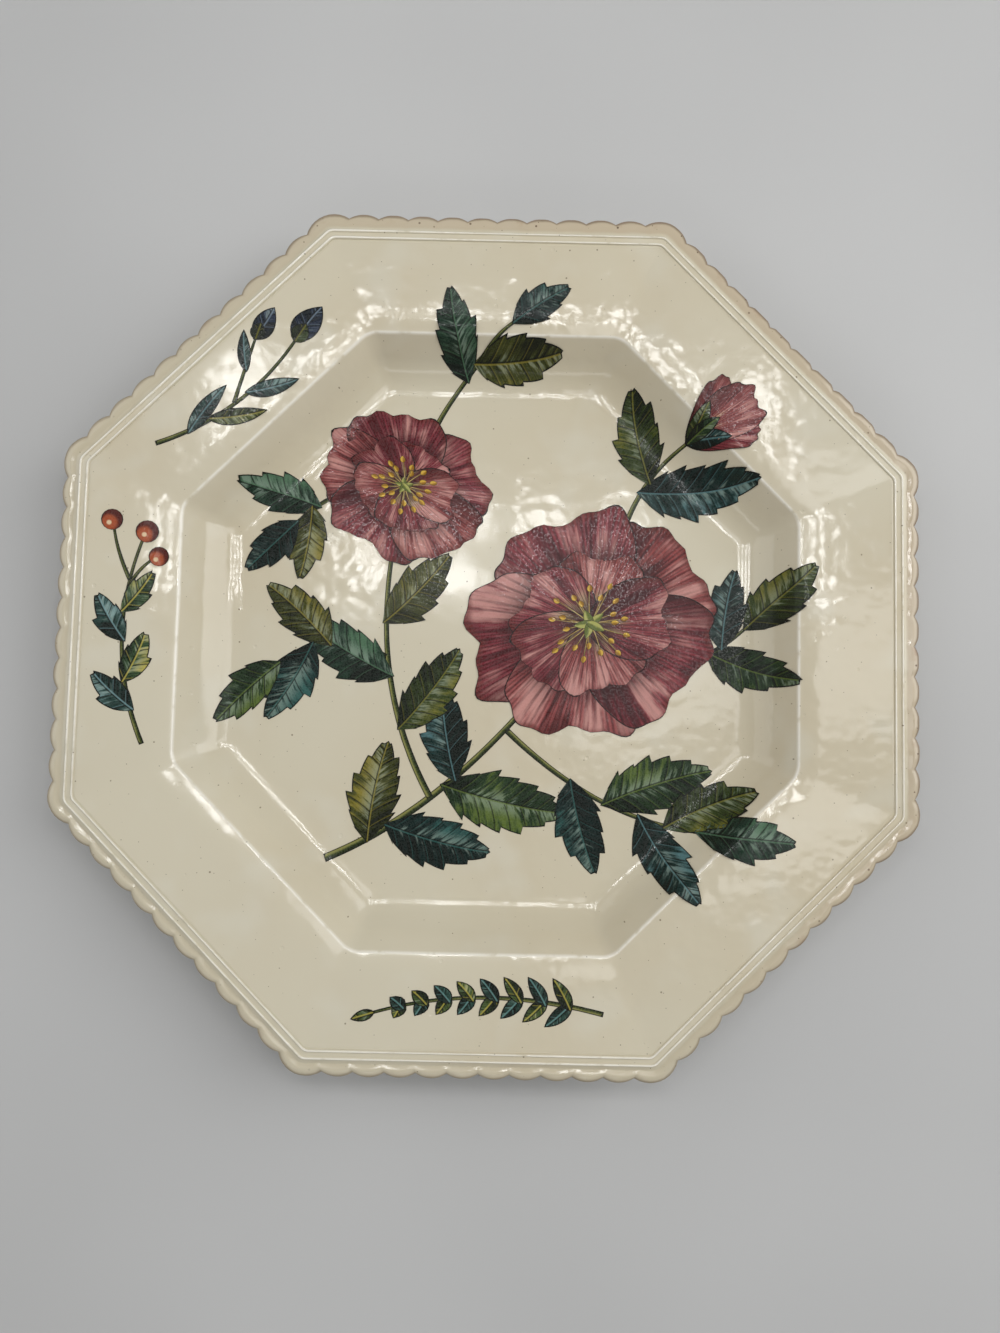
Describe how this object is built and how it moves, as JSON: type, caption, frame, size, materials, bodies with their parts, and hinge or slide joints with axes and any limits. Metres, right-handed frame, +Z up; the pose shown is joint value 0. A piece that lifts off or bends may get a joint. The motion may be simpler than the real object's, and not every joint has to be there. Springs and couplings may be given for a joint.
{
  "type": "octagonal plate",
  "caption": "Octagonal earthenware plate with a scalloped, reeded rim, a flat well on a foot ring, cream glaze and printed enamel sprays, for serving food.",
  "frame": {"origin": "on the table under the middle of the plate, at the bottom of the foot ring", "axes": "+Z up out of the front face, +X and +Y square to two neighbouring pairs of the plate's straight sides"},
  "size_m": [0.242, 0.242, 0.0225],
  "materials": {
    "biscuit": "matt fired earthenware, bare only under the foot ring",
    "glaze": "glossy cream glaze, a little wavy, with small brown specks and a worn edge",
    "blossom_enamel": "printed and tinted enamel, rose petals and green leaves, softer shine than the glaze",
    "leaf_enamel": "printed and tinted enamel in olive and green, softer shine than the glaze"
  },
  "bodies": {
    "root": {"biscuit_body": "biscuit", "glaze_coat": "glaze", "base_glaze": "glaze", "blossom_spray": "blossom_enamel", "berry_sprig": "leaf_enamel", "fern_sprig": "leaf_enamel", "bud_sprig": "leaf_enamel"}
  },
  "joints": []
}
